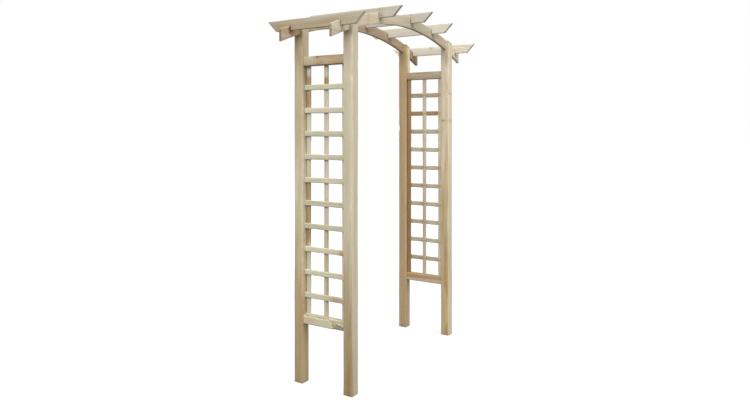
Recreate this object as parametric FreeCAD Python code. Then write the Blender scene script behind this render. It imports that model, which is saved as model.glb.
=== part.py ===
import FreeCAD, Part
import math
import os

os.makedirs("parts", exist_ok=True)

# All sizes are in millimetres. X runs across the walkway, Y along it and Z up,
# with the origin on the ground at the middle of the arch.

# Posts: their outer faces, their section and the ears that hold the arched beams
span_outside = 1300.0
depth_outside = 416.0
post_side = 63.0
post_edge_radius = 6.0
ear_below_beam_top = 5.0
ear_corner_radius = 15.0
slot_clearance = 0.4

# Arched beams: two flat boards sawn to circular arcs, set on edge in the posts
crown_height = 2221.0
arch_radius = 2195.0
beam_depth = 67.0
beam_thickness = 20.0
beam_tail = 160.0

# Rafters: five boards on edge, halved over both beams, with their ends cut slanting
rafter_length = 682.0
rafter_height = 62.0
rafter_thickness = 20.0
rafter_end_slant = 60.0
rafter_above_beam = 30.0
beam_notch_depth = 12.0
halving_clearance = 0.4
left_end_rafter_from_post = 70.0
right_end_rafter_from_post = 93.0
left_rafter_from_middle = -320.0
middle_rafter_from_middle = 72.0
right_rafter_from_middle = 371.0

# Side panels: two rails between the posts, with rungs and laths between the rails. The left
# panel's bottom rail and rungs were fixed a little lower than the right one's.
rail_height = 55.0
rail_thickness = 43.0
top_rail_below_crown = 355.0
bottom_rail_underside = 361.0
left_bottom_rail_lowered = 9.0
rung_count = 10
rung_height = 32.0
rung_thickness = 12.0
rung_setback = 22.0
left_rungs_lowered = 7.0
lath_width = 29.0
lath_thickness = 12.0
side_lath_from_post = 2.5

# Places that follow from the sizes above
post_outer_x = span_outside / 2
post_inner_x = post_outer_x - post_side
post_outer_y = depth_outside / 2
post_inner_y = post_outer_y - post_side
post_middle_y = post_outer_y - post_side / 2
beam_end_x = post_outer_x + beam_tail
arch_centre_z = crown_height - arch_radius
under_radius = arch_radius - beam_depth
top_rail_underside = crown_height - top_rail_below_crown


def beam_top(x):
    """Height of a beam's outer edge at the place x along the span."""
    return arch_centre_z + math.sqrt(arch_radius ** 2 - x ** 2)


def beam_under(x):
    """Height of a beam's inner edge at the place x along the span."""
    return arch_centre_z + math.sqrt(under_radius ** 2 - x ** 2)


def vector(x, y, z):
    return FreeCAD.Vector(x, y, z)


def box(x_low, x_high, y_low, y_high, z_low, z_high):
    """A block between two corners."""
    return Part.makeBox(x_high - x_low, y_high - y_low, z_high - z_low, vector(x_low, y_low, z_low))


def prism(corners, push):
    """A flat outline of straight sides, pushed along the vector push."""
    outline = Part.makePolygon(corners + [corners[0]])
    return Part.Face(outline).extrude(push)


def mirrored(shape, left, back):
    """A copy of a right front piece, for the left side, the back, or both."""
    copy = shape.copy()
    if left:
        copy = copy.mirror(vector(0, 0, 0), vector(1, 0, 0))
    if back:
        copy = copy.mirror(vector(0, 0, 0), vector(0, 1, 0))
    return copy


def post():
    """The right front post: a square bar with eased edges and an open slot in its top."""
    top_inner = beam_top(post_inner_x) - ear_below_beam_top
    top_outer = beam_top(post_outer_x) - ear_below_beam_top
    bar = box(post_inner_x, post_outer_x, -post_outer_y, -post_inner_y, 0, top_inner)
    upright = [edge for edge in bar.Edges if edge.BoundBox.ZLength > post_side]
    bar = bar.makeFillet(post_edge_radius, upright)

    # the ears slope with the beam and are rounded at their outer corner
    side_outline = prism(
        [vector(post_inner_x, -post_outer_y, 0), vector(post_outer_x, -post_outer_y, 0),
         vector(post_outer_x, -post_outer_y, top_outer), vector(post_inner_x, -post_outer_y, top_inner)],
        vector(0, post_side, 0))
    on_face = 0.01
    shoulder = [edge for edge in side_outline.Edges
                if edge.BoundBox.ZMin > top_outer - on_face and edge.BoundBox.XMin > post_outer_x - on_face]
    side_outline = side_outline.makeFillet(ear_corner_radius, shoulder)
    bar = bar.common(side_outline)

    # the slot is open at the top, and its floor lies along the beam's inner edge
    slot_half = beam_thickness / 2 + slot_clearance
    over = crown_height
    slot = prism(
        [vector(post_inner_x, -post_middle_y - slot_half, beam_under(post_inner_x)),
         vector(post_outer_x, -post_middle_y - slot_half, beam_under(post_outer_x)),
         vector(post_outer_x, -post_middle_y - slot_half, over),
         vector(post_inner_x, -post_middle_y - slot_half, over)],
        vector(0, 2 * slot_half, 0))
    return bar.cut(slot).removeSplitter()


def rafter_places():
    """The middle of each rafter's thickness along the span, by name."""
    return {
        "left_end_rafter": -post_outer_x - left_end_rafter_from_post,
        "left_rafter": left_rafter_from_middle,
        "middle_rafter": middle_rafter_from_middle,
        "right_rafter": right_rafter_from_middle,
        "right_end_rafter": post_outer_x + right_end_rafter_from_post,
    }


def arched_beam(middle_y):
    """A board between two concentric arcs, cut upright at both ends and notched for the rafters."""
    front_y = middle_y - beam_thickness / 2
    outer_left = vector(-beam_end_x, front_y, beam_top(beam_end_x))
    outer_right = vector(beam_end_x, front_y, beam_top(beam_end_x))
    under_left = vector(-beam_end_x, front_y, beam_under(beam_end_x))
    under_right = vector(beam_end_x, front_y, beam_under(beam_end_x))
    outer_crown = vector(0, front_y, beam_top(0))
    under_crown = vector(0, front_y, beam_under(0))
    outline = Part.Wire([
        Part.Arc(outer_left, outer_crown, outer_right).toShape(),
        Part.LineSegment(outer_right, under_right).toShape(),
        Part.Arc(under_right, under_crown, under_left).toShape(),
        Part.LineSegment(under_left, outer_left).toShape()])
    beam = Part.Face(outline).extrude(vector(0, beam_thickness, 0))
    notch_half = rafter_thickness / 2 + halving_clearance
    for place in rafter_places().values():
        floor = beam_top(place) - beam_notch_depth
        notch = box(place - notch_half, place + notch_half,
                    front_y, front_y + beam_thickness, floor, floor + beam_depth)
        beam = beam.cut(notch)
    return beam


def rafter(place):
    """A board on edge across both beams, its top edge longer than its lower edge."""
    top = beam_top(place) + rafter_above_beam
    bottom = top - rafter_height
    seat = beam_top(place) - beam_notch_depth
    near_x = place - rafter_thickness / 2
    top_y = rafter_length / 2
    bottom_y = top_y - rafter_end_slant
    board = prism(
        [vector(near_x, -top_y, top), vector(near_x, -bottom_y, bottom),
         vector(near_x, bottom_y, bottom), vector(near_x, top_y, top)],
        vector(rafter_thickness, 0, 0))
    notch_half = beam_thickness / 2 + halving_clearance
    for beam_y in (-post_middle_y, post_middle_y):
        notch = box(near_x, near_x + rafter_thickness,
                    beam_y - notch_half, beam_y + notch_half, bottom, seat)
        board = board.cut(notch)
    return board


def rail(underside):
    """A right-hand rail, centred on the posts and butted between them."""
    middle_x = post_outer_x - post_side / 2
    return box(middle_x - rail_thickness / 2, middle_x + rail_thickness / 2,
               -post_inner_y, post_inner_y, underside, underside + rail_height)


def trellis(rail_underside, rungs_lowered):
    """A right-hand trellis: rungs outside, laths inside, joined where they cross."""
    low = rail_underside + rail_height
    high = top_rail_underside
    rung_outer_x = post_outer_x - rung_setback
    rung_inner_x = rung_outer_x - rung_thickness
    gap = (high - low - rung_count * rung_height) / (rung_count + 1)
    bars = []
    for number in range(rung_count):
        rung_low = low + gap - rungs_lowered + number * (gap + rung_height)
        bars.append(box(rung_inner_x, rung_outer_x, -post_inner_y, post_inner_y,
                        rung_low, rung_low + rung_height))
    side_place = post_inner_y - side_lath_from_post - lath_width / 2
    for middle_y in (-side_place, 0, side_place):
        bars.append(box(rung_inner_x - lath_thickness, rung_inner_x,
                        middle_y - lath_width / 2, middle_y + lath_width / 2, low, high))
    return bars[0].multiFuse(bars[1:]).removeSplitter()


def write(name, shape):
    """Keep one piece as a STEP file under its own name."""
    shape.exportStep("parts/" + name + ".step")
    solids = len(shape.Solids)
    print(name, "solids", solids, "valid", shape.isValid(), "volume", round(shape.Volume))


corner_post = post()
write("right_front_post", corner_post)
write("right_back_post", mirrored(corner_post, False, True))
write("left_front_post", mirrored(corner_post, True, False))
write("left_back_post", mirrored(corner_post, True, True))

write("front_arched_beam", arched_beam(-post_middle_y))
write("back_arched_beam", arched_beam(post_middle_y))

for name, place in rafter_places().items():
    write(name, rafter(place))

for side, left, rail_lowered, rungs_lowered in (("left", True, left_bottom_rail_lowered, left_rungs_lowered),
                                                ("right", False, 0, 0)):
    underside = bottom_rail_underside - rail_lowered
    write(side + "_top_rail", mirrored(rail(top_rail_underside), left, False))
    write(side + "_bottom_rail", mirrored(rail(underside), left, False))
    write(side + "_trellis", mirrored(trellis(underside, rungs_lowered), left, False))
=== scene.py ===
import math

import bmesh
import bpy
import numpy as np
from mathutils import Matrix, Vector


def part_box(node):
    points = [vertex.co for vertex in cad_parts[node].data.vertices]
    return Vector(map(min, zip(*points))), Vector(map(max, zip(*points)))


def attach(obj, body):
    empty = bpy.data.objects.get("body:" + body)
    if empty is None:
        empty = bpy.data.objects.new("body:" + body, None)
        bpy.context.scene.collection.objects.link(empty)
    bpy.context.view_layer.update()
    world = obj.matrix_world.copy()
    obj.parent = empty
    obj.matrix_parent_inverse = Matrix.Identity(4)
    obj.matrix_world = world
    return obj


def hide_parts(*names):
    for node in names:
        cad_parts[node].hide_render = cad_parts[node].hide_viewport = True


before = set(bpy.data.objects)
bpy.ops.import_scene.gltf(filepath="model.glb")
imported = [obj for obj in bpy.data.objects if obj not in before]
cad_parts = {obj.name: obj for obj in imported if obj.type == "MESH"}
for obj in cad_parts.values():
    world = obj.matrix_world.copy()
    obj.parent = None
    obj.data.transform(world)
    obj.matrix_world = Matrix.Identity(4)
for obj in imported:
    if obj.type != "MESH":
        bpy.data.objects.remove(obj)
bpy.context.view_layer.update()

# Posts
# Four square bars of planed, pressure-treated softwood whose long arrises are rounded over. The top of
# each is sawn to a slot between two ears, which slope with the arched beam that they hold.
post_arris = 0.006
foot_arris = 0.0015
ear_arris = 0.0012
ear_shoulder = 0.015
ear_end_grain = 0.055
slot_half = 0.0104
ear_below_beam = 0.005
beam_radius = 2.195
beam_depth = 0.067
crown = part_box("front_arched_beam")[1].z


def outer_edge(x):
    """Height of an arched beam's outer edge: a circle about a centre one radius under the crown."""
    return crown - beam_radius + np.sqrt(beam_radius ** 2 - x ** 2)


def inner_edge(x):
    """Height of an arched beam's inner edge: a circle with the same centre, one beam depth smaller."""
    return crown - beam_radius + np.sqrt((beam_radius - beam_depth) ** 2 - x ** 2)


def wired(tree, kind, feeds=None, **settings):
    """One shader node. The settings are its own, and each feed is a number or another node's output."""
    node = tree.nodes.new(kind)
    for key, value in settings.items():
        setattr(node, key, value)
    for key, value in (feeds or {}).items():
        if isinstance(value, bpy.types.NodeSocket):
            tree.links.new(value, node.inputs[key])
        else:
            node.inputs[key].default_value = value
    return node


def reckon(tree, operation, first, second=0.0, third=0.0):
    """One step of arithmetic on two or three numbers."""
    return wired(tree, "ShaderNodeMath", {0: first, 1: second, 2: third}, operation=operation).outputs[0]


def length_of(tree, vector):
    """How long a vector is."""
    return wired(tree, "ShaderNodeVectorMath", {0: vector}, operation="LENGTH").outputs["Value"]


def eased(tree, value, low, high, start=0.0, end=1.0):
    """Goes from start to end in a smooth step while the value goes from low to high."""
    feeds = {"Value": value, "From Min": low, "From Max": high, "To Min": start, "To Max": end}
    return wired(tree, "ShaderNodeMapRange", feeds, interpolation_type="SMOOTHSTEP").outputs[0]


def mixed(tree, share, first, second, blend_type="MIX"):
    """Two colours mixed by a share of the second."""
    node = wired(tree, "ShaderNodeMix", data_type="RGBA", blend_type=blend_type)
    for socket, value in ((node.inputs[0], share), (node.inputs[6], first), (node.inputs[7], second)):
        if isinstance(value, bpy.types.NodeSocket):
            tree.links.new(value, socket)
        else:
            socket.default_value = value
    return node.outputs[2]


def fibres(tree, grain, across, along, detail=2.0):
    """Noise drawn out along the grain: across and along are its periods to the metre in each way."""
    stretched = wired(tree, "ShaderNodeMapping", {"Vector": grain, "Scale": (across, across, along)})
    feeds = {"Vector": stretched.outputs[0], "Scale": 1.0, "Detail": detail, "Roughness": 0.6}
    return wired(tree, "ShaderNodeTexNoise", feeds).outputs[0]


def shade(red, green, blue):
    """A colour written as it shows on a screen, from 0 to 255, turned into the light it gives back."""
    shown = np.array([red, green, blue]) / 255
    linear = np.where(shown < 0.04045, shown / 12.92, ((shown + 0.055) / 1.055) ** 2.4)
    return (*linear, 1.0)


def softwood(name, ring_width, sapwood, summerwood, heartwood, heart_rings, knot_size):
    """Treated softwood, worked out from where a point lay in its log: the attribute grain gives its way
    from the pith in metres, with z along the log. Rings are the distance from the pith, bent by a slow
    noise and by the knots, which are branches running out from the pith. The attribute tone gives how
    brown, how green and how light a timber is, and its lightness also carries painted light and shade.
    The attribute cut gives end grain, arris and heartwood radius. The attribute knot holds one chosen
    knot: its place along the log, its bearing and its radius. The attribute knotty says how freely the
    other knots show."""
    material = bpy.data.materials.new(name)
    material.use_nodes = True
    tree = material.node_tree
    tree.nodes.clear()
    grain = wired(tree, "ShaderNodeAttribute", attribute_name="grain").outputs["Vector"]
    tone = wired(tree, "ShaderNodeAttribute", attribute_name="tone").outputs["Vector"]
    cut = wired(tree, "ShaderNodeAttribute", attribute_name="cut").outputs["Vector"]
    chosen = wired(tree, "ShaderNodeAttribute", attribute_name="knot").outputs["Vector"]
    knotty = wired(tree, "ShaderNodeAttribute", attribute_name="knotty").outputs["Fac"]
    brown, green, light = wired(tree, "ShaderNodeSeparateXYZ", {0: tone}).outputs
    end, arris, heart_radius = wired(tree, "ShaderNodeSeparateXYZ", {0: cut}).outputs
    across, up, along = wired(tree, "ShaderNodeSeparateXYZ", {0: grain}).outputs
    chosen_along, chosen_bearing, chosen_size = wired(tree, "ShaderNodeSeparateXYZ", {0: chosen}).outputs

    # branches leave the pith at their own heights and bearings, and most come to nothing
    whorl = 0.17
    pith_reach = 0.055
    bearing = reckon(tree, "ARCTAN2", up, across)
    place = wired(tree, "ShaderNodeCombineXYZ", {
        0: reckon(tree, "DIVIDE", along, whorl), 1: reckon(tree, "MULTIPLY", bearing, pith_reach / whorl)})
    branch = wired(tree, "ShaderNodeTexVoronoi", {"Vector": place.outputs[0], "Scale": 1.0},
                   voronoi_dimensions="2D")
    near = reckon(tree, "MULTIPLY", branch.outputs["Distance"], whorl)
    chance = wired(tree, "ShaderNodeSeparateColor", {0: branch.outputs["Color"]}).outputs[0]
    ragged = fibres(tree, grain, 260, 200)
    size = eased(tree, chance, 0.5, 1.0, -0.15, 1.0)
    size = reckon(tree, "ADD", size, reckon(tree, "SUBTRACT", knotty, 1.0))
    size = reckon(tree, "MULTIPLY", size, knot_size)
    beyond = reckon(tree, "SUBTRACT", near, size)
    turned = reckon(tree, "MULTIPLY", reckon(tree, "SUBTRACT", bearing, chosen_bearing), pith_reach)
    offset = wired(tree, "ShaderNodeCombineXYZ", {
        0: reckon(tree, "SUBTRACT", along, chosen_along), 1: turned})
    from_chosen = length_of(tree, offset.outputs[0])
    beyond_chosen = reckon(tree, "SUBTRACT", from_chosen, chosen_size)
    nearer = reckon(tree, "MINIMUM", beyond, beyond_chosen)
    within = reckon(tree, "MULTIPLY_ADD", ragged, 0.3 * knot_size, nearer)
    knot = eased(tree, within, -0.0006, 0.0016, 1.0, 0.0)
    rim = reckon(tree, "MULTIPLY", eased(tree, within, -0.0026, -0.0006), knot)
    halo = reckon(tree, "MULTIPLY", eased(tree, beyond, 0.0, 0.03, 1.0, 0.0), eased(tree, size, 0.0, 0.004))
    chosen_halo = reckon(tree, "MULTIPLY", eased(tree, beyond_chosen, 0.0, 0.03, 1.0, 0.0),
                         eased(tree, chosen_size, 0.0, 0.004))
    halo = reckon(tree, "MAXIMUM", halo, chosen_halo)

    # growth rings: a pale spring band that darkens slowly and ends at a sharp summer line
    flat = wired(tree, "ShaderNodeCombineXYZ", {0: across, 1: up})
    distance = length_of(tree, flat.outputs[0])
    wander = reckon(tree, "SUBTRACT", fibres(tree, grain, 16, 1.7, 1.0), 0.5)
    bent = reckon(tree, "MULTIPLY_ADD", wander, 0.016, distance)
    bent = reckon(tree, "MULTIPLY_ADD", halo, 0.011, bent)
    bent = reckon(tree, "MULTIPLY_ADD", fibres(tree, grain, 110, 5), 0.0011, bent)
    ring = reckon(tree, "FRACT", reckon(tree, "DIVIDE", bent, ring_width))
    summer = reckon(tree, "MULTIPLY", eased(tree, ring, 0.2, 0.88), eased(tree, ring, 0.9, 1.0, 1.0, 0.0))
    strength = eased(tree, fibres(tree, grain, 30, 0.9), 0.3, 0.7, 0.35, 1.0)
    summer = reckon(tree, "MULTIPLY", summer, strength)

    # heartwood is the middle of the log, and it also shows in patches where a timber is browner
    edge = reckon(tree, "MULTIPLY_ADD", wander, 0.02, distance)
    heart = eased(tree, reckon(tree, "SUBTRACT", edge, heart_radius), -0.003, 0.006, 1.0, 0.0)
    cloud = fibres(tree, grain, 34, 2.6)
    patch = reckon(tree, "MULTIPLY_ADD", cloud, 1.1, -0.55)
    patch = eased(tree, reckon(tree, "ADD", brown, patch), 0.0, 0.95)
    heart = reckon(tree, "MAXIMUM", reckon(tree, "MULTIPLY", heart, 0.9), patch)
    heart = reckon(tree, "MAXIMUM", heart, reckon(tree, "MULTIPLY", halo, 0.55))
    sap = mixed(tree, summer, sapwood, summerwood)
    red = mixed(tree, summer, heartwood, heart_rings)
    colour = mixed(tree, heart, sap, red)

    # the salts of the treatment leave a green cast in the sapwood, in long clouds
    salts = eased(tree, reckon(tree, "ADD", green, fibres(tree, grain, 22, 1.4)), 0.55, 1.05)
    colour = mixed(tree, reckon(tree, "MULTIPLY", salts, 0.5), colour, shade(184, 190, 160))
    colour = mixed(tree, knot, colour, shade(150, 103, 62))
    colour = mixed(tree, reckon(tree, "MULTIPLY", rim, 0.75), colour, shade(74, 48, 30))

    # fibre by fibre the wood is lighter or darker, with short resin ducts and a few drying checks
    streak = fibres(tree, grain, 620, 9, 3.0)
    duct = eased(tree, fibres(tree, grain, 1500, 34, 1.0), 0.69, 0.76)
    slit = reckon(tree, "ABSOLUTE", reckon(tree, "SUBTRACT", fibres(tree, grain, 75, 1.1, 0.0), 0.5))
    check = reckon(tree, "MULTIPLY", eased(tree, slit, 0.0, 0.0035, 1.0, 0.0),
                   eased(tree, fibres(tree, grain, 12, 2.3, 0.0), 0.56, 0.68))
    worn = reckon(tree, "MULTIPLY", arris, eased(tree, fibres(tree, grain, 90, 30), 0.4, 0.7))
    value = reckon(tree, "MULTIPLY_ADD", streak, 0.26, 0.75)
    value = reckon(tree, "MULTIPLY_ADD", fibres(tree, grain, 48, 1.5), 0.24, value)
    value = reckon(tree, "MULTIPLY_ADD", duct, -0.13, value)
    value = reckon(tree, "MULTIPLY_ADD", check, -0.5, value)
    value = reckon(tree, "MULTIPLY_ADD", worn, 0.12, value)
    value = reckon(tree, "MULTIPLY_ADD", end, -0.34, value)
    # the lightness of the tone scales the colour, and so paints light and shade wherever it is set for them
    value = reckon(tree, "MULTIPLY", value, light)
    grey = wired(tree, "ShaderNodeCombineColor", {0: value, 1: value, 2: value}).outputs[0]
    colour = mixed(tree, 1.0, colour, grey, "MULTIPLY")

    # the summer lines stand proud, and the knots are harder and shinier than the wood round them
    height = reckon(tree, "MULTIPLY_ADD", summer, 0.00009, reckon(tree, "MULTIPLY", streak, 0.00016))
    height = reckon(tree, "MULTIPLY_ADD", check, -0.0007, height)
    height = reckon(tree, "MULTIPLY_ADD", rim, -0.00012, height)
    saw = fibres(tree, grain, 40, 330, 1.0)
    height = reckon(tree, "MULTIPLY_ADD", saw, 0.00003, height)
    height = reckon(tree, "MULTIPLY_ADD", reckon(tree, "MULTIPLY", end, ragged), 0.0003, height)
    bump = wired(tree, "ShaderNodeBump", {"Height": height, "Strength": 0.9, "Distance": 1.0})
    rough = reckon(tree, "MULTIPLY_ADD", streak, 0.22, 0.56)
    rough = reckon(tree, "MULTIPLY_ADD", knot, -0.16, rough)
    feeds = {"Base Color": colour, "Roughness": rough, "Normal": bump.outputs[0],
             "Specular IOR Level": 0.28}
    shader = wired(tree, "ShaderNodeBsdfPrincipled", feeds)
    wired(tree, "ShaderNodeOutputMaterial", {0: shader.outputs[0]})
    return material


def bells(along, *spots):
    """A row of bell curves along a timber, each given by its middle, its half length and its height."""
    curves = (height * np.exp(-((along - middle) / half) ** 2) for middle, half, height in spots)
    return 0 * along + sum(curves)


def skin(rows, close=True):
    """Faces between each closed row of points and the next one, with a face over each end."""
    count, size = rows.shape[:2]
    first = np.arange(count - 1)[:, None] * size + np.arange(size)
    after = np.arange(count - 1)[:, None] * size + (np.arange(size) + 1) % size
    sides = np.stack([first, after, after + size, first + size], axis=-1).reshape(-1, 4).tolist()
    ends = [list(range(size))[::-1], list(range((count - 1) * size, count * size))] if close else []
    return sides + ends


def grown(points, middle, way, pith, log):
    """Where each point lay in its log. The pith runs in a straight line past the timber, from its place at
    the low end to its place at the high end, both measured from the timber's middle, across the grain.
    The way says which axis the grain follows, and each timber's log starts 5 m further on."""
    a, b, w = np.roll(points - middle, -1 - way, axis=1).T
    share = ((w - w.min()) / (w.max() - w.min()))[:, None]
    line = np.array(pith[0]) * (1 - share) + np.array(pith[1]) * share
    return np.column_stack([a - line[:, 0], b - line[:, 1], w + 5.0 * log])


def timber(name, points, faces, grain, tone, cut, material, node, knot=(0, 0, 0, 0), knotty=1.0):
    """Puts one piece of wood into the scene and welds the seams of its surface. The knot is a place on
    the piece and a radius, or none at all, and knotty goes from 0 to 1."""
    mesh = bpy.data.meshes.new(name)
    mesh.from_pydata(points.tolist(), [], faces)
    nearest = grain[np.argmin(np.linalg.norm(points - np.array(knot[:3]), axis=1))]
    chosen = np.broadcast_to([nearest[2], math.atan2(nearest[1], nearest[0]), knot[3]], points.shape)
    for key, values in (("grain", grain), ("tone", tone), ("cut", cut), ("knot", chosen)):
        layer = mesh.attributes.new(key, "FLOAT_VECTOR", "POINT")
        layer.data.foreach_set("vector", np.asarray(values, np.float32).ravel())
    mesh.attributes.new("knotty", "FLOAT", "POINT").data.foreach_set("value", np.full(len(points), knotty))
    shape = bmesh.new()
    shape.from_mesh(mesh)
    weld = 0.00002
    bmesh.ops.remove_doubles(shape, verts=shape.verts, dist=weld)
    bmesh.ops.dissolve_degenerate(shape, edges=shape.edges, dist=weld)
    shape.to_mesh(mesh)
    shape.free()
    mesh.shade_smooth()
    mesh.set_sharp_from_angle(angle=math.radians(38))
    mesh.materials.append(material)
    piece = bpy.data.objects.new(name, mesh)
    bpy.context.scene.collection.objects.link(piece)
    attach(piece, "root")
    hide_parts(node)
    return piece


def square_post(low, high):
    """A post's surface, worked out over its width x and its height. At each x the front and back edges
    are pulled in to a quarter circle at the arrises. The shaft is rings of those edges from the foot up
    to the slot's sloping floor. Each ear is rings of one edge and one slot wall from there to its top,
    which follows the beam and is rounded off towards the outside. Returns the points and the faces."""
    away, outer = (1.0, high[0]) if high[0] > 0 else (-1.0, low[0])
    turn = 1 - np.cos(np.linspace(0, math.pi / 2, 5))
    over_shoulder = [0.008, 0.0105, 0.0125, ear_shoulder]
    past_shoulder = [0.024, 0.034, 0.045]
    inward = np.concatenate([post_arris * turn, over_shoulder, past_shoulder,
                             (high[0] - low[0]) - post_arris * turn])
    x = np.sort(outer - away * inward)
    to_face = np.minimum(np.minimum(x - low[0], high[0] - x), post_arris)
    pull = post_arris - np.sqrt(post_arris ** 2 - (post_arris - to_face) ** 2)
    front, back = low[1] + pull, high[1] - pull
    wall = (low[1] + high[1]) / 2 + slot_half * np.array([-1.0, 1.0])
    floor = inner_edge(x)
    dip = np.clip(ear_shoulder - np.abs(outer - x), 0, ear_shoulder)
    top = outer_edge(x) - ear_below_beam - (ear_shoulder - np.sqrt(ear_shoulder ** 2 - dip ** 2))
    n = len(x)

    ring_x = np.concatenate([x, [x[-1], x[-1]], x[::-1], [x[0], x[0]]])
    ring_y = np.concatenate([front, wall, back[::-1], wall[::-1]])
    ring_top = np.concatenate([floor, [floor[-1]] * 2, floor[::-1], [floor[0]] * 2])
    share = np.concatenate([[0, 0.0003, foot_arris / 2], np.linspace(0.002, 1, 150)])[:, None]
    half_side = (high[0] - low[0]) / 2
    shrink = np.concatenate([[1.0, 0.3], np.zeros(len(share) - 2)])[:, None] * foot_arris / half_side
    centre_x, centre_y = (low[0] + high[0]) / 2, (low[1] + high[1]) / 2
    shaft = np.stack([centre_x + (ring_x - centre_x) * (1 - shrink),
                      centre_y + (ring_y - centre_y) * (1 - shrink), ring_top * share], axis=-1)
    faces = skin(shaft, close=False) + [list(range(shaft.shape[1]))[::-1]]
    points = [shaft.reshape(-1, 3)]
    start = len(points[0])

    slot = np.concatenate([np.column_stack([x, np.full(n, wall[0]), floor]),
                           np.column_stack([x, np.full(n, wall[1]), floor])])
    step = np.arange(n - 1)
    faces += (start + np.stack([step, step + 1, step + 1 + n, step + n], axis=-1)).tolist()
    points.append(slot)
    start += len(slot)

    for low_y, high_y in ((front, np.full(n, wall[0])), (np.full(n, wall[1]), back)):
        rise = np.concatenate([np.linspace(0, 1, 9)[:-1], [1.0, 1.0]])[:, None]
        drop = np.concatenate([np.zeros(8), [ear_arris, 0.0]])[:, None]
        inset = np.concatenate([np.zeros(9), [ear_arris]])[:, None]
        both_x = np.concatenate([x, x[::-1]])
        both_y = np.concatenate([low_y + 0 * inset, high_y[::-1] + 0 * inset], axis=1)
        both_y = both_y + inset * np.concatenate([np.ones(n), -np.ones(n)])
        both_floor, both_top = np.concatenate([floor, floor[::-1]]), np.concatenate([top, top[::-1]])
        ear = np.stack([np.clip(both_x, low[0] + inset, high[0] - inset), both_y,
                        both_floor + (both_top - both_floor) * rise - drop], axis=-1)
        last = start + 2 * n * (len(rise) - 1)
        lid = np.stack([step, step + 1, 2 * n - 2 - step, 2 * n - 1 - step], axis=-1)
        faces += [[start + i for i in face] for face in skin(ear, close=False)] + (last + lid).tolist()
        points.append(ear.reshape(-1, 3))
        start += ear.shape[0] * ear.shape[1]
    return np.concatenate(points), faces


post_wood = softwood("post_softwood", 0.0042, shade(206, 194, 172), shade(184, 166, 134),
                     shade(176, 151, 113), shade(150, 121, 84), 0.010)
up_post = (0.1, 1.0, 1.9)
nick_half, nick_deep = 0.018, 0.0035
uneven, uneven_below = 0.00018, 1.9
near_face = 0.007
no_knot = (0, 0, 0, 0)

# a row of three values holds at the three heights of up_post, and goes evenly between them. A nick is the
# height and the side of a bite out of one arris, and left_brown makes the -X face browner. The light of
# each post is painted light and shade up its height, and the -X face is painted darker on the left posts
# and lighter on the right front post, as the light fell on it.
posts = {
    "left_front_post": dict(
        pith=((-0.055, -0.004), (-0.034, -0.042)), heart=(0.040, -0.010, -0.010), green=(0.12, 0.28, 0.25),
        brown=(0.18, 0.06, 0.02), light=(0.88, 0.98, 0.92), left_brown=(0.85, 0.14, 0.1),
        left_painted_light=(-0.11, 0.0, 0.02), nick=(1.790, -1, -1), knotty=0.4),
    "left_back_post": dict(
        pith=((-0.052, 0.034), (-0.024, 0.042)), heart=(-0.010, -0.010, -0.010), green=(0.15, 0.26, 0.20),
        brown=(0.85, 0.25, 0.45), light=(1.12, 1.18, 0.94), left_brown=(0.3, 0.1, 0.1),
        left_painted_light=(-0.20, -0.12, 0.0), nick=(0.95, 1, 1), knotty=0.5),
    "right_front_post": dict(
        pith=((-0.200, -0.012), (-0.210, -0.012)), heart=(-0.01, -0.01, -0.01), green=(0.15, 0.15, 0.10),
        brown=(0.2, 0.0, -0.1), light=(1.12, 1.07, 1.15), left_brown=(0.65, 0.65, 0.3),
        left_painted_light=(0.14, 0.10, 0.0), nick=(0.62, 1, 1), knot=(0.587, -0.160, 1.555, 0.004), knotty=0.4),
    "right_back_post": dict(
        pith=((-0.040, 0.006), (-0.042, -0.006)), heart=(0.052, 0.052, 0.042), green=(0.08, 0.08, 0.0),
        brown=(0.5, 0.35, 0.10), light=(1.2, 1.14, 1.18), left_brown=(0, 0, 0),
        left_painted_light=(0, 0, 0), nick=(1.505, -1, 1), knotty=0.5),
}
for log, (node, wood) in enumerate(posts.items()):
    low, high = (np.array(corner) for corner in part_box(node))
    points, faces = square_post(low, high)
    middle = (low + high) / 2
    across = (points - middle)[:, :2]
    half = (high - low)[:2] / 2
    height = points[:, 2]
    corner = np.abs(across) > half - 2 * post_arris
    nick_z, nick_x, nick_y = wood["nick"]
    bite = nick_deep * bells(height, (nick_z, nick_half, 1.0)) * corner.all(axis=1)
    bite *= (across[:, 0] * nick_x > 0) & (across[:, 1] * nick_y > 0)
    slow = uneven * (2 + np.sin(7.3 * height + log) + np.sin(17.1 * height + 2 * log))
    slow *= height < uneven_below
    points[:, :2] -= np.sign(across) * (bite + slow)[:, None] * (np.abs(across) > half - near_face)
    grain = grown(points, middle, 2, wood["pith"], log)
    # painted light and shade up each post's height, with painted shade in the last few centimetres above the
    # floor
    light = np.interp(height, up_post, wood["light"]) * (1 - 0.12 * bells(height, (0.0, 0.02, 1.0)))
    on_left = np.clip(-4 * across[:, 0] / half[0] - 3, 0, 1)
    brown = np.interp(height, up_post, wood["brown"])
    brown = brown + on_left * np.interp(height, up_post, wood["left_brown"])
    light = light * (1 + on_left * np.interp(height, up_post, wood["left_painted_light"]))
    tone = np.column_stack([brown, np.interp(height, up_post, wood["green"]), light])
    at_end = (height < 0.0004) | (height > inner_edge(np.abs(points[:, 0])) + ear_end_grain)
    cut = np.column_stack([at_end, corner.all(axis=1), np.interp(height, up_post, wood["heart"])])
    timber(node + "_timber", points, faces, grain, tone, cut, post_wood, node,
           wood.get("knot", no_knot), wood["knotty"])

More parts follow.
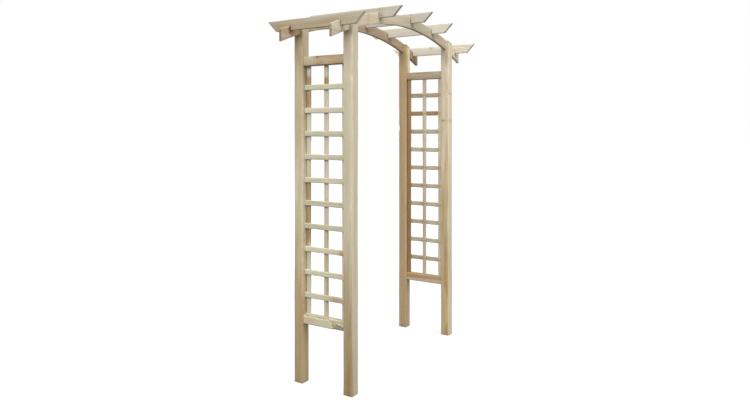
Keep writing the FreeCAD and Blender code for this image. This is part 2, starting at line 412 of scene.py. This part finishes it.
# Arched beams
# Two softwood boards, 20 mm thick, sawn to one circular curve and set on edge in the slots of the posts.
# They run on past the posts in short tails cut upright, and are notched on top where the rafters cross.
# Each notch is sawn a little wide, which leaves a dark gap at the left of the rafter, and painted shade
# darkens the beam's face in that joint.
board_arris = 0.002
notch_depth = 0.012
notch_half = 0.0104
sloppy = 0.0030
joint_shade_middle, joint_shade_half, joint_shade_dark, joint_shade_down = 0.0138, 0.0035, 0.75, 0.036
rafters = ["left_end_rafter", "left_rafter", "middle_rafter", "right_rafter", "right_end_rafter"]
rafter_places = [(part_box(node)[0].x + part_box(node)[1].x) / 2 for node in rafters]


def rounded_section(flat_steps, arc_steps):
    """The outline of a bar with rounded arrises: for each point, which corner of the inner rectangle it
    belongs to, from -1 to 1 each way, and the direction in which the radius pushes it out."""
    turn = np.linspace(0, math.pi / 2, arc_steps)
    run = np.linspace(1, -1, flat_steps + 1)[1:-1]
    ones, none = np.ones_like(run), np.zeros_like(run)
    quarter = np.concatenate([[np.ones(arc_steps), np.ones(arc_steps), np.cos(turn), np.sin(turn)],
                              [run, ones, none, ones]], axis=1)
    parts = []
    for side in range(4):
        c, s = round(math.cos(side * math.pi / 2)), round(math.sin(side * math.pi / 2))
        a, b, push_a, push_b = quarter
        parts.append([a * c - b * s, a * s + b * c, push_a * c - push_b * s, push_a * s + push_b * c])
    return np.concatenate(parts, axis=1)


def bar_rows(section, low, high, stations, arris, square_ends=False):
    """Rows of points of a bar: the section is fitted at each station between the low and high limits
    across the grain, which may change from station to station. Its ends are eased or left square."""
    a, b, push_a, push_b = section
    low, high = (np.broadcast_to(limit, (len(stations), 2)) for limit in (low, high))
    middle, half = (low + high) / 2, (high - low) / 2
    to_end = np.minimum(stations - stations.min(), stations.max() - stations)
    to_end = np.full(len(stations), arris) if square_ends else np.minimum(to_end, arris)
    inset = (arris - np.sqrt(arris ** 2 - (arris - to_end) ** 2))[:, None]
    rows_a = middle[:, :1] + a * (half[:, :1] - arris) + push_a * (arris - inset)
    rows_b = middle[:, 1:] + b * (half[:, 1:] - arris) + push_b * (arris - inset)
    return np.stack([rows_a, rows_b, np.broadcast_to(stations[:, None], rows_a.shape)], axis=-1)


def eased_stations(low, high, step, arris, *cuts):
    """Places along a bar: close together at its eased ends, doubled at each saw cut, else evenly apart."""
    turn = arris * (1 - np.cos(np.linspace(0, math.pi / 2, 4)))
    body = np.linspace(low + arris, high - arris, max(2, int((high - low) / step)))
    return np.sort(np.concatenate([low + turn[:-1], body, high - turn[:-1], np.repeat(cuts, 2)]))


beam_wood = softwood("beam_softwood", 0.0037, shade(205, 194, 172), shade(184, 168, 138),
                     shade(178, 152, 120), shade(150, 120, 90), 0.012)
# painted light and shade: the bells that make a beam lighter or darker along its length lift the front
# beam's right tail and darken its middle, and the back beam's low light and strong brown stand partly for
# the shade it lies in and partly for its browner wood
beams = {
    "front_arched_beam": dict(
        pith=((-0.055, 2.02), (-0.050, 2.06)), heart=0.030, green=0.12, brown=0.07, light=0.97,
        browner=((-0.78, 0.08, 0.25), (0.52, 0.22, 0.42)),
        painted_light=((-0.78, 0.08, -0.04), (0.12, 0.28, -0.20), (0.76, 0.07, 0.46)), knotty=0.35),
    "back_arched_beam": dict(
        pith=((0.040, 2.10), (0.045, 2.16)), heart=0.055, green=0.0, brown=0.62, light=0.86,
        browner=((0.75, 0.25, 0.35),), painted_light=((0.3, 0.3, -0.02),),
        knot=(-0.738, 0.1665, 2.066, 0.016), knotty=0.5),
}
for log, (node, wood) in enumerate(beams.items(), 4):
    low, high = (np.array(corner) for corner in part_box(node))
    notches = [(place - notch_half - sloppy, place + notch_half) for place in rafter_places]
    seams = [place - reach for place in rafter_places for reach in (0.0110, 0.0125, 0.0150, 0.0170)]
    x = eased_stations(low[0], high[0], 0.009, board_arris, *np.ravel(notches), *seams)
    top = outer_edge(x)
    first_of_pair = np.append(x[1:] - x[:-1] < 1e-9, False)
    for place, (start, stop) in zip(rafter_places, notches):
        inside = (x > start + 1e-6) & (x < stop - 1e-6)
        inside |= (np.isclose(x, start) & ~first_of_pair) | (np.isclose(x, stop) & first_of_pair)
        top = np.where(inside, outer_edge(place) - notch_depth, top)
    section = rounded_section(6, 4)
    rows = bar_rows(section, np.column_stack([np.full(len(x), low[1]), inner_edge(x)]),
                    np.column_stack([np.full(len(x), high[1]), top]), x, board_arris)
    points = np.roll(rows.reshape(-1, 3), 1, axis=1)
    middle = np.array([0, (low[1] + high[1]) / 2, 0])
    grain = grown(points, middle, 0, wood["pith"], log)
    along = points[:, 0]
    # painted shade in each joint: the beam's face is darkened in a narrow band just left of each rafter,
    # over its top 36 mm
    joint_shade = bells(along, *((place - joint_shade_middle, joint_shade_half, joint_shade_dark) for place in rafter_places))
    joint_shade *= np.clip((points[:, 2] - outer_edge(along) + joint_shade_down) / 0.006, 0, 1)
    tone = np.column_stack([wood["brown"] + bells(along, *wood["browner"]), wood["green"] + 0 * along,
                            wood["light"] + bells(along, *wood["painted_light"]) - joint_shade])
    at_end = np.repeat(1.3 * (x < low[0] + 1e-6) + 1.0 * (x > high[0] - 1e-6), len(section[0]))
    arris = np.tile(np.abs(section[2] * section[3]) > 0.1, len(x))
    cut = np.column_stack([at_end, arris, wood["heart"] + 0 * along])
    timber(node + "_board", points, skin(rows), grain, tone, cut, beam_wood, node,
           wood.get("knot", no_knot), wood["knotty"])

# Rafters
# Five softwood boards on edge across both beams, halved over them, with both ends cut slanting so that
# the top edge is the longer. A screw through each crossing has pressed a shallow dip into the top edge.
rafter_slant = 0.060
slant_from = 0.20
seat_below_top = 0.042
screw_pressed = 0.0055
screw_dip = 0.0007
rafter_wood = softwood("rafter_softwood", 0.0034, shade(210, 204, 189), shade(193, 182, 160),
                       shade(182, 158, 124), shade(156, 128, 96), 0.009)
# painted light and shade: each board's light makes the rafters darker at the left and paler at the right, as
# the light fell across them. The left end rafter's negative end paints light on its slanted front end, which
# faces down into shade, and the ends of the left and middle rafters are darkened less than end grain, which
# is painted light too.
boards = {
    "left_end_rafter": dict(
        pith=((0.07, 0.012), (0.06, 0.02)), heart=0.0, green=0.28, light=0.775, brown=0.48,
        browner=((0.2, 0.2, 0.3),), end=-2.2, knotty=0.3),
    "left_rafter": dict(
        pith=((-0.06, 0.03), (-0.07, 0.04)), heart=0.02, green=0.15, light=0.80, brown=0.12,
        browner=((-0.19, 0.02, 0.35),), end=0.3, knot=(-0.33, -0.199, 2.178, 0.004), knotty=0.0),
    "middle_rafter": dict(
        pith=((0.05, -0.05), (0.06, -0.04)), heart=0.02, green=0.0, light=0.77, brown=0.10,
        browner=((-0.19, 0.02, 0.2),), end=0.3, knotty=0.2),
    "right_rafter": dict(
        pith=((-0.04, -0.06), (-0.05, -0.05)), heart=0.02, green=0.0, light=0.97, brown=-0.15,
        browner=((0.2, 0.05, 0.1),), end=1, knotty=0.2),
    "right_end_rafter": dict(
        pith=((0.03, -0.07), (0.02, -0.08)), heart=0.02, green=0.0, light=1.10, brown=-0.15,
        browner=((0.25, 0.05, 0.1),), end=1, knot=(0.733, 0.01, 2.118, 0.003), knotty=0.0),
}
beam_places = [(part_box(node)[0].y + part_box(node)[1].y) / 2 for node in beams]
for log, (node, wood) in enumerate(boards.items(), 6):
    low, high = (np.array(corner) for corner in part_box(node))
    cuts = [place + side * reach for place in beam_places for side in (-1, 1)
            for reach in (notch_half, screw_pressed)]
    y = eased_stations(low[1], high[1], 0.009, board_arris, *cuts)
    bottom = np.full(len(y), low[2])
    first_of_pair = np.append(y[1:] - y[:-1] < 1e-9, False)
    for place in beam_places:
        inside = np.abs(y - place) < notch_half - 1e-6
        left, right = (np.isclose(y, place + side * notch_half) for side in (-1, 1))
        inside |= (left & ~first_of_pair) | (right & first_of_pair)
        bottom = np.where(inside, high[2] - seat_below_top, bottom)
    section = rounded_section(6, 4)
    rows = bar_rows(section, np.column_stack([bottom, np.full(len(y), low[0])]),
                    np.column_stack([np.full(len(y), high[2]), np.full(len(y), high[0])]), y, board_arris)
    reach = np.clip((np.abs(rows[..., 2]) - slant_from) / (high[1] - slant_from), 0, 1)
    slope = np.clip((high[2] - board_arris - rows[..., 0]) / (high[2] - low[2] - board_arris), 0, 1)
    rows[..., 2] -= np.sign(rows[..., 2]) * rafter_slant * reach * slope
    to_screw = np.min(np.abs(rows[..., 2:] - np.array(beam_places)), axis=-1)
    off_middle = np.abs(rows[..., 1] - (low[0] + high[0]) / 2)
    pressed = (to_screw < screw_pressed + 1e-6) & (off_middle < screw_pressed)
    rows[..., 0] -= screw_dip * (pressed & (rows[..., 0] > high[2] - 1e-6))
    points = np.roll(rows.reshape(-1, 3), 2, axis=1)
    middle = (low + high) / 2
    grain = grown(points, middle, 1, wood["pith"], log)
    along = points[:, 1]
    tone = np.column_stack([wood["brown"] + bells(along, *wood["browner"]), wood["green"] + 0 * along,
                            wood["light"] + 0 * along])
    at_end = np.repeat((y < low[1] + 1e-6) * wood["end"] + (y > high[1] - 1e-6), len(section[0]))
    arris = np.tile(np.abs(section[2] * section[3]) > 0.1, len(y))
    cut = np.column_stack([at_end, arris, wood["heart"] + 0 * along])
    timber(node + "_board", points, skin(rows), grain, tone, cut, rafter_wood, node,
           wood.get("knot", no_knot), wood["knotty"])

# Rails
# Four bars of softwood, 43 by 55 mm, butted between the two posts of each side and screwed to them aslant
# from below. The near one at the top has a knot and a resin streak, and the near bottom one a waney front.
rail_arris = 0.0035
underside_from, underside_shade = 0.047, 0.34
torn_from, torn_lean, torn_deep = -0.034, 0.68, 0.0025
hollow_from, hollow_deep = 0.024, 0.0085
strip_from, strip_wide, strip_deep = -0.050, 0.0095, 0.0050
rail_wood = softwood("rail_softwood", 0.0045, shade(207, 193, 168), shade(184, 164, 130),
                     shade(182, 146, 102), shade(148, 108, 68), 0.012)
rails = {
    "left_top_rail": dict(
        pith=((0.02, 0.05), (0.03, 0.055)), heart=0.03, green=0.12, light=0.86, brown=0.30,
        browner=((0.03, 0.03, 0.30), (-0.09, 0.07, 0.38)), greener=((0.11, 0.05, 0.12),),
        knot=(-0.640, 0.045, 1.914, 0.007)),
    "left_bottom_rail": dict(
        pith=((-0.05, 0.04), (-0.05, 0.05)), heart=0.02, green=0.2, light=1.0, brown=0.0,
        browner=((0.09, 0.04, 0.15),), greener=((-0.01, 0.03, 0.4),)),
    "right_top_rail": dict(
        pith=((0.03, -0.05), (0.02, -0.05)), heart=0.0, green=0.2, light=0.92, brown=0.28,
        browner=((0.12, 0.05, 0.2),), greener=()),
    "right_bottom_rail": dict(
        pith=((0.04, -0.04), (0.03, -0.05)), heart=0.045, green=0.0, light=1.06, brown=0.3,
        browner=((0.0, 0.1, 0.1),), greener=()),
}
for log, (node, wood) in enumerate(rails.items(), 11):
    low, high = (np.array(corner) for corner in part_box(node))
    y = eased_stations(low[1], high[1], 0.0035, 0.0006)
    section = rounded_section(16, 6)
    rows = bar_rows(section, low[[2, 0]], high[[2, 0]], y, rail_arris, square_ends=True)
    points = np.roll(rows.reshape(-1, 3), 2, axis=1)
    middle = (low + high) / 2
    grain = grown(points, middle, 1, wood["pith"], log)
    along = points[:, 1]
    down = high[2] - points[:, 2]
    browner = wood["brown"] + bells(along, *wood["browner"])
    greener = wood["green"] + bells(along, *wood["greener"])
    # painted shade: each rail's underside is darker from 47 mm below its top
    light = wood["light"] - underside_shade * np.clip((down - underside_from) / 0.006, 0, 1)
    if node == "left_top_rail":
        # a resinous streak runs along the top arris
        resin = np.clip((0.009 - down) / 0.004, 0, 1) * bells(along, (0.02, 0.06, 1.0))
        browner, light = browner + 0.8 * resin, light - 0.12 * resin
    if node == "left_bottom_rail":
        # the sawn front ends at a slanting torn edge, and beyond it lies the round of the log, which is
        # hollow and stained along its lower half; a wavy strip of the log is left along the top arris too
        ragged = 0.0030 * np.sin(95 * along + 240 * down) + 0.0022 * np.sin(233 * along + 1)
        torn = np.clip((torn_from - torn_lean * (down - 0.006) - along + ragged) / 0.003, 0, 1)
        torn *= np.clip((down - 0.007 - ragged) / 0.004, 0, 1)
        hollow = torn * np.clip((down - hollow_from - 2 * ragged) / 0.010, 0, 1)
        wavy = strip_wide + 0.0018 * np.sin(61 * along) + 0.0014 * np.sin(150 * along + 2)
        beyond = np.clip((along - strip_from) / 0.02, 0, 1)
        strip = np.clip((wavy - down) / 0.003, 0, 1) * beyond
        lip_highlight = np.exp(-((down - wavy - 0.0010) / 0.0018) ** 2) * beyond
        front = np.clip((middle[0] - points[:, 0]) / (middle[0] - low[0]), 0, 1) ** 3
        points[:, 0] += (torn_deep * torn + hollow_deep * hollow + strip_deep * strip) * front
        # painted shade: the rim darkens the torn edge where the face steps back; painted highlight: the lip
        # lightens a band just under the strip
        rim = 4 * torn * (1 - torn)
        browner = browner + (0.3 * hollow - 0.3 * torn) * front
        greener = greener + (0.7 * hollow + 0.4 * strip) * front
        light = light + (0.12 * torn - 0.52 * hollow - 0.42 * rim - 0.26 * strip + 0.22 * lip_highlight) * front
    tone = np.column_stack([browner, greener, light])
    at_end = np.repeat((y < low[1] + 1e-6) | (y > high[1] - 1e-6), len(section[0]))
    arris = np.tile(np.abs(section[2] * section[3]) > 0.1, len(y))
    cut = np.column_stack([at_end, arris, wood["heart"] + 0 * along])
    timber(node + "_bar", points, skin(rows), grain, tone, cut, rail_wood, node,
           wood.get("knot", no_knot), knotty=0.6)

# Trellis rungs and laths
# Each side is closed by ten level rungs between the posts and three upright laths between the rails,
# nailed to the inner side of the rungs. All are planed laths, 12 mm thick, with rounded arrises.
lath_arris = 0.0042
lath_thickness = 0.012
rung_height = 0.032
lath_width = 0.029
side_lath_gap = 0.0025
rung_count = 10
rungs_lowered = {"left_trellis": 0.007, "right_trellis": 0.0}
rung_wood = softwood("trellis_softwood", 0.0036, shade(208, 200, 177), shade(190, 178, 148),
                     shade(183, 147, 103), shade(150, 107, 68), 0.008)

# how brown, how green and how light each rung is from the top one down, and each lath from the front back
rung_tones = {
    "left_trellis": [
        (-0.1, 0.5, 0.96), (0.0, 0.2, 0.95), (0.05, 0.25, 0.86), (0.1, 0.3, 0.90), (-0.1, 0.1, 0.93),
        (0.15, 0.3, 0.89), (0.0, 0.3, 0.92), (0.1, 0.1, 0.96), (-0.1, 0.1, 0.96), (0.0, 0.1, 0.98)],
    "right_trellis": [
        (0.5, 0.0, 0.92), (0.8, 0.0, 0.84), (0.3, 0.2, 0.85), (0.1, 0.3, 0.95), (0.3, 0.1, 1.0),
        (0.35, 0.0, 1.04), (0.3, 0.1, 1.0), (0.3, 0.0, 1.0), (0.25, 0.0, 1.0), (0.4, 0.0, 0.95)],
}
lath_tones = {
    "left_trellis": [(0.05, 0.3, 0.95), (0.12, 0.1, 0.92), (0.1, 0.2, 0.95)],
    "right_trellis": [(0.12, 0.15, 1.08), (0.15, 0.15, 0.94), (0.85, 0.0, 0.83)],
}
rung_spots = {"left_rung_7": ((0.02, 0.05, 0.2),), "left_rung_8": ((-0.125, 0.03, 0.5),),
              "left_rung_9": ((-0.05, 0.10, 0.2),), "left_rung_10": ((-0.08, 0.06, 0.44),)}
rung_moss = {"left_rung_1": ((0.08, 0.05, 0.3),), "left_rung_3": ((0.05, 0.03, 0.6),),
             "left_rung_10": ((0.09, 0.06, 0.8),)}
lath_spots = {
    "left_trellis": [((1.80, 0.03, 0.1),), ((1.775, 0.018, 1.1), (0.75, 0.35, 0.3)),
                     ((1.778, 0.030, 1.3), (1.665, 0.055, 1.2), (1.13, 0.07, 1.2), (1.01, 0.05, 0.8),
                      (0.90, 0.07, 1.1))],
    "right_trellis": [((1.30, 0.2, 0.1),), ((0.9, 0.2, 0.2),), ((1.2, 0.3, 0.2),)],
}
nail_stain = 0.007
nails = []
section = rounded_section(4, 5)


def nailed_lath(name, low, high, way, log, tone, spots, moss, node):
    """One lath or rung: the rounded section drawn along its way between the corners low and high. Its
    spots are browner and darker, and its moss is greener. A rung has a painted highlight along its top and
    painted shade along its lower edge."""
    order = [(way + 1) % 3, (way + 2) % 3]
    stations = eased_stations(low[way], high[way], 0.012 if way == 1 else 0.004, 0.0008)
    rows = bar_rows(section, low[order], high[order], stations, lath_arris, square_ends=True)
    points = np.roll(rows.reshape(-1, 3), way + 1, axis=1)
    turn = 2.4 * log
    pith = 0.045 * np.array([math.cos(turn), math.sin(turn)])
    grain = grown(points, (low + high) / 2, way, (pith, pith + 0.008 * math.sin(3 * log)), log)
    along = points[:, way]
    spot = bells(along, *spots)
    up = (2 * points[:, 2] - low[2] - high[2]) / (high[2] - low[2]) * (way == 1)
    # painted highlight on a rung's top edge and painted shade along its lower edge
    light = tone[2] - 0.10 * spot + 0.10 * np.clip(3 * up - 2, 0, 1) - 0.12 * np.clip(-3 * up - 2, 0, 1)
    tone = np.column_stack([tone[0] + spot, tone[1] + bells(along, *moss), light])
    at_end = np.repeat((stations < low[way] + 1e-6) | (stations > high[way] - 1e-6), len(section[0]))
    arris = np.tile(np.abs(section[2] * section[3]) > 0.1, len(stations))
    cut = np.column_stack([at_end, arris, 0.012 + 0 * along])
    timber(name, points, skin(rows), grain, tone, cut, rung_wood, node, knotty=0.4)


for side, node in ((-1, "left_trellis"), (1, "right_trellis")):
    low, high = (np.array(corner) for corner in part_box(node))
    rung_x = np.sort([side * max(abs(low[0]), abs(high[0])),
                      side * (max(abs(low[0]), abs(high[0])) - lath_thickness)])
    lath_x = rung_x - side * lath_thickness
    gap = (high[2] - low[2] - rung_count * rung_height) / (rung_count + 1)
    name = node.split("_")[0]
    tops = [high[2] - gap - number * (gap + rung_height) - rungs_lowered[node]
            for number in range(rung_count)]
    for number, top in enumerate(tops):
        rung = f"{name}_rung_{number + 1}"
        nailed_lath(rung, np.array([rung_x[0], low[1], top - rung_height]),
                    np.array([rung_x[1], high[1], top]), 1, 15 + 13 * (side > 0) + number,
                    rung_tones[node][number], rung_spots.get(rung, ()), rung_moss.get(rung, ()), node)
    side_place = high[1] - side_lath_gap - lath_width / 2
    for number, place in enumerate((-side_place, 0.0, side_place)):
        nailed_at = [top - rung_height / 2 + 0.003 * math.sin(7 * top + 5 * place) for top in tops]
        nails += [(lath_x[0] if side > 0 else lath_x[1], place, z, side) for z in nailed_at]
        stains = tuple((z, nail_stain, 0.45) for z in nailed_at)
        nailed_lath(f"{name}_lath_{number + 1}", np.array([lath_x[0], place - lath_width / 2, low[2]]),
                    np.array([lath_x[1], place + lath_width / 2, high[2]]), 2, 25 + 13 * (side > 0) + number,
                    lath_tones[node][number], lath_spots[node][number] + stains, (), node)

# Screws and nails
# Zinc-plated countersunk screws with cross recesses hold the rafters, the ears of the posts and the rails.
# Plain steel nails, driven from the laths' inner faces, hold the trellises, and they have begun to rust.
screw_head = 0.0040
recess_long = 0.0023
recess_half = 0.00055
recess_deep = 0.0011
ear_screw_below = 0.034
rail_screw_in, rail_screw_turn = 0.022, 0.35
nail_head = 0.0018
head_dome = 0.0004


def driven_heads(seats, radius, dome, recessed):
    """The heads of screws or nails as one surface. Each head is rings about its own middle: their radius
    grows from nothing to the head's and their height falls as a shallow dome, then the rim turns down by
    a fifth of the radius. A cross recess sinks where a point is near either arm and not beyond its end.
    Each seat gives the middle of the head, the way that it faces, and its turn about that way."""
    reach = np.concatenate([np.linspace(0.02, 1, 15), [1.0]])[:, None]
    turn = np.linspace(0, 2 * math.pi, 49)[:-1][None, :]
    a, b = radius * reach * np.cos(turn), radius * reach * np.sin(turn)
    rise = dome * (1 - reach ** 2) - 0.2 * radius * np.append(np.zeros(15), 1.0)[:, None] + 0 * turn
    near_arm, along_arm = np.minimum(np.abs(a), np.abs(b)), np.maximum(np.abs(a), np.abs(b))
    sunk = np.clip((recess_half - near_arm) / 0.0003, 0, 1)
    sunk = sunk * np.clip((recess_long - along_arm) / 0.0005, 0, 1)
    rise = rise - recess_deep * sunk * recessed
    points, faces = [], []
    for place, way, turned in seats:
        way = np.array(way) / np.linalg.norm(way)
        first = np.cross(way, [0, 0, 1] if abs(way[2]) < 0.9 else [0, 1, 0])
        first = first / np.linalg.norm(first)
        second = np.cross(way, first)
        first, second = (first * math.cos(turned) + second * math.sin(turned),
                         second * math.cos(turned) - first * math.sin(turned))
        head = np.array(place) + a[..., None] * first + b[..., None] * second + rise[..., None] * way
        start = sum(len(part) for part in points)
        faces += [[start + i for i in face[::-1]] for face in skin(head)]
        points.append(head.reshape(-1, 3))
    return np.concatenate(points), faces


def steel(name, bright, rust, rusted):
    """Plated steel, clouded and finely scratched, with rust where a noise passes the share left bright."""
    material = bpy.data.materials.new(name)
    material.use_nodes = True
    tree = material.node_tree
    tree.nodes.clear()
    place = wired(tree, "ShaderNodeTexCoord").outputs["Object"]
    cloud = wired(tree, "ShaderNodeTexNoise", {"Vector": place, "Scale": 900.0, "Detail": 3.0}).outputs[0]
    speck = wired(tree, "ShaderNodeTexNoise", {"Vector": place, "Scale": 4200.0, "Detail": 2.0}).outputs[0]
    coat = reckon(tree, "MULTIPLY_ADD", speck, 0.25, cloud)
    share = eased(tree, coat, 0.75 - 0.4 * rusted, 0.85 - 0.4 * rusted)
    dull = mixed(tree, cloud, bright, shade(118, 120, 122))
    colour = mixed(tree, share, dull, rust)
    metallic = eased(tree, share, 0.0, 1.0, 0.9, 0.1)
    rough = reckon(tree, "MULTIPLY_ADD", share, 0.4, reckon(tree, "MULTIPLY_ADD", speck, 0.2, 0.3))
    bump = wired(tree, "ShaderNodeBump", {"Height": coat, "Strength": 0.5, "Distance": 0.0001})
    feeds = {"Base Color": colour, "Metallic": metallic, "Roughness": rough, "Normal": bump.outputs[0]}
    shader = wired(tree, "ShaderNodeBsdfPrincipled", feeds)
    wired(tree, "ShaderNodeOutputMaterial", {0: shader.outputs[0]})
    return material


screws = []
for node in rafters:
    low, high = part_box(node)
    middle, level = (low.x + high.x) / 2, high.z - screw_dip + 0.0001
    screws += [((middle, y, level), (0, 0, 1), 3 * low.x + y) for y in beam_places]
for node in posts:
    low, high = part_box(node)
    middle = (low.x + high.x) / 2
    level = float(outer_edge(abs(middle))) - ear_screw_below
    screws.append(((middle, high.y, level), (0, 1, 0), 5 * middle + high.y))
for node in rails:
    low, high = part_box(node)
    ends = ((low.y + rail_screw_in, -rail_screw_turn), (high.y - rail_screw_in, rail_screw_turn))
    screws += [(((low.x + high.x) / 2, y, low.z), (0, 0, -1), y + turned) for y, turned in ends]
points, faces = driven_heads(screws, screw_head, head_dome, 1.0)
screw_steel = steel("zinc_plated_steel", shade(190, 190, 186), shade(120, 78, 48), 0.15)
nail_seats = [((x, y, z), (-facing, 0, 0), 0.0) for x, y, z, facing in nails]
nail_points, nail_faces = driven_heads(nail_seats, nail_head, head_dome, 0.0)
nail_steel = steel("rusting_steel", shade(140, 136, 130), shade(112, 66, 38), 0.8)
for name, points, faces, metal in (("screw_heads", points, faces, screw_steel),
                                   ("nail_heads", nail_points, nail_faces, nail_steel)):
    mesh = bpy.data.meshes.new(name)
    mesh.from_pydata(points.tolist(), [], faces)
    mesh.shade_smooth()
    mesh.set_sharp_from_angle(angle=math.radians(38))
    mesh.materials.append(metal)
    heads = bpy.data.objects.new(name, mesh)
    bpy.context.scene.collection.objects.link(heads)
    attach(heads, "root")

# Floor and light
# A wide plain pale floor that runs out into a white room, under two large soft lamps: one in front and
# one at the left, both high up. The camera sees the room as white, and its own light is weaker.
floor_size = 60.0
floor_mesh = bpy.data.meshes.new("studio_floor")
corners = ((-1, -1), (1, -1), (1, 1), (-1, 1))
floor_mesh.from_pydata([(x * floor_size, y * floor_size, -0.0005) for x, y in corners], [], [(0, 1, 2, 3)])
floor = bpy.data.objects.new("studio_floor", floor_mesh)
bpy.context.scene.collection.objects.link(floor)
floor_material = bpy.data.materials.new("pale_floor")
floor_material.use_nodes = True
tree = floor_material.node_tree
tree.nodes.clear()
seen = wired(tree, "ShaderNodeLightPath").outputs["Is Camera Ray"]
matte = wired(tree, "ShaderNodeBsdfDiffuse", {"Color": (0.20, 0.20, 0.20, 1)})
plain = wired(tree, "ShaderNodeBsdfDiffuse", {"Color": (0.30, 0.30, 0.30, 1)})
from_middle = length_of(tree, wired(tree, "ShaderNodeTexCoord").outputs["Object"])
glow = wired(tree, "ShaderNodeEmission", {
    "Color": (1, 1, 1, 1), "Strength": eased(tree, from_middle, 1.5, 4.0, 0.72, 1.0)})
both = wired(tree, "ShaderNodeAddShader", {0: plain.outputs[0], 1: glow.outputs[0]})
choice = wired(tree, "ShaderNodeMixShader", {0: seen, 1: matte.outputs[0], 2: both.outputs[0]})
wired(tree, "ShaderNodeOutputMaterial", {0: choice.outputs[0]})
floor_mesh.materials.append(floor_material)

world = bpy.data.worlds.new("white_room")
world.use_nodes = True
tree = world.node_tree
tree.nodes.clear()
paths = wired(tree, "ShaderNodeLightPath").outputs
seen = reckon(tree, "ADD", paths["Is Camera Ray"], reckon(
    tree, "ADD", paths["Is Glossy Ray"], paths["Is Transmission Ray"]))
room_light = 0.62
strength = eased(tree, seen, 0.0, 1.0, room_light, 1.0)
background = wired(tree, "ShaderNodeBackground", {"Color": (1, 1, 1, 1), "Strength": strength})
wired(tree, "ShaderNodeOutputWorld", {0: background.outputs[0]})
bpy.context.scene.world = world


def softbox(name, place, aim, size, power):
    """A square lamp of the given size at a place, turned to face the point it aims at."""
    lamp = bpy.data.lights.new(name, "AREA")
    lamp.shape = "SQUARE"
    lamp.size = size
    lamp.energy = power
    holder = bpy.data.objects.new(name, lamp)
    holder.location = place
    way = np.array(aim) - np.array(place)
    tilt = math.acos(-way[2] / np.linalg.norm(way))
    holder.rotation_euler = (tilt, 0, math.atan2(way[1], way[0]) - math.pi / 2)
    bpy.context.scene.collection.objects.link(holder)


softbox("key_softbox", (-1.5, -8.0, 9.6), (0.0, 0.0, 1.4), 6.0, 1030)
softbox("side_softbox", (-9.0, -1.2, 7.7), (0.0, 0.0, 1.4), 5.0, 790)

# Camera
# Level, at the height of a standing person's chest, in front of the left panel and a little to its side.
# The view is shifted down, as a photographer shifts the lens to keep the posts upright.
camera_data = bpy.data.cameras.new("camera")
camera_data.sensor_width = 36.0
camera_data.lens = 30.08
camera_data.shift_x = 0.0025
camera_data.shift_y = -0.0942
camera = bpy.data.objects.new("camera", camera_data)
camera.location = (-3.53469, -2.17492, 1.49414)
camera.rotation_euler = (math.radians(90), 0, math.radians(-57.625))
bpy.context.scene.collection.objects.link(camera)
bpy.context.scene.camera = camera
bpy.context.scene.view_settings.view_transform = "Standard"
